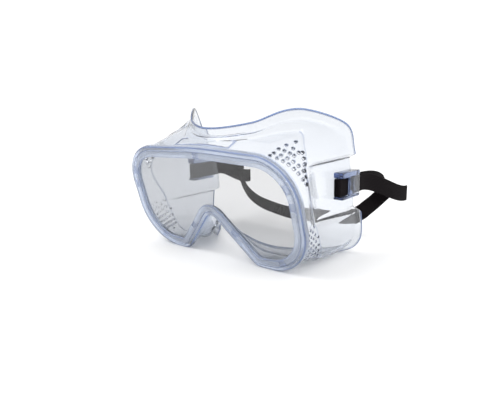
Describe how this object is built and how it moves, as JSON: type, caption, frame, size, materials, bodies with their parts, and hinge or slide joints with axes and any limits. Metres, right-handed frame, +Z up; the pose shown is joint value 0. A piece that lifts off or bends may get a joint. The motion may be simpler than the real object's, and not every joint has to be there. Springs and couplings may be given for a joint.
{
  "type": "safety goggles",
  "caption": "Clear splash goggles: soft transparent frame with perforated vent shoulders and a nose arch, a flat clear lens, side strap anchors and a black elastic headband.",
  "frame": {"origin": "centre of the bottom of the bounding box of the goggles and their strap tails, without the headband loop: on the surface the goggles stand on", "axes": "+Z up as the goggles stand, -Y is the way the lens faces, +X is the wearer's left; the goggles are symmetric about the YZ plane"},
  "size_m": [0.1728, 0.1624, 0.1073],
  "materials": {
    "clear_pvc": "smooth, clear with a blue cast at its edges",
    "clear_polycarbonate": "polished, clear",
    "black_elastic": "knitted elastic, matt"
  },
  "bodies": {
    "goggles": {"frame_body": "clear_pvc", "lens": "clear_polycarbonate", "strap_anchor_left": "clear_pvc", "strap_anchor_right": "clear_pvc", "strap_fold_left": "black_elastic", "strap_fold_right": "black_elastic", "headband": "black_elastic"},
    "tail_left": {"strap_tail_left": "black_elastic"},
    "tail_right": {"strap_tail_right": "black_elastic"}
  },
  "joints": [
    {"name": "tail_left_pull", "type": "slide", "parent": "goggles", "child": "tail_left", "axis": [0, 1, 0], "range_m": [0, 0.02]},
    {"name": "tail_right_pull", "type": "slide", "parent": "goggles", "child": "tail_right", "axis": [0, 1, 0], "range_m": [0, 0.02]}
  ]
}
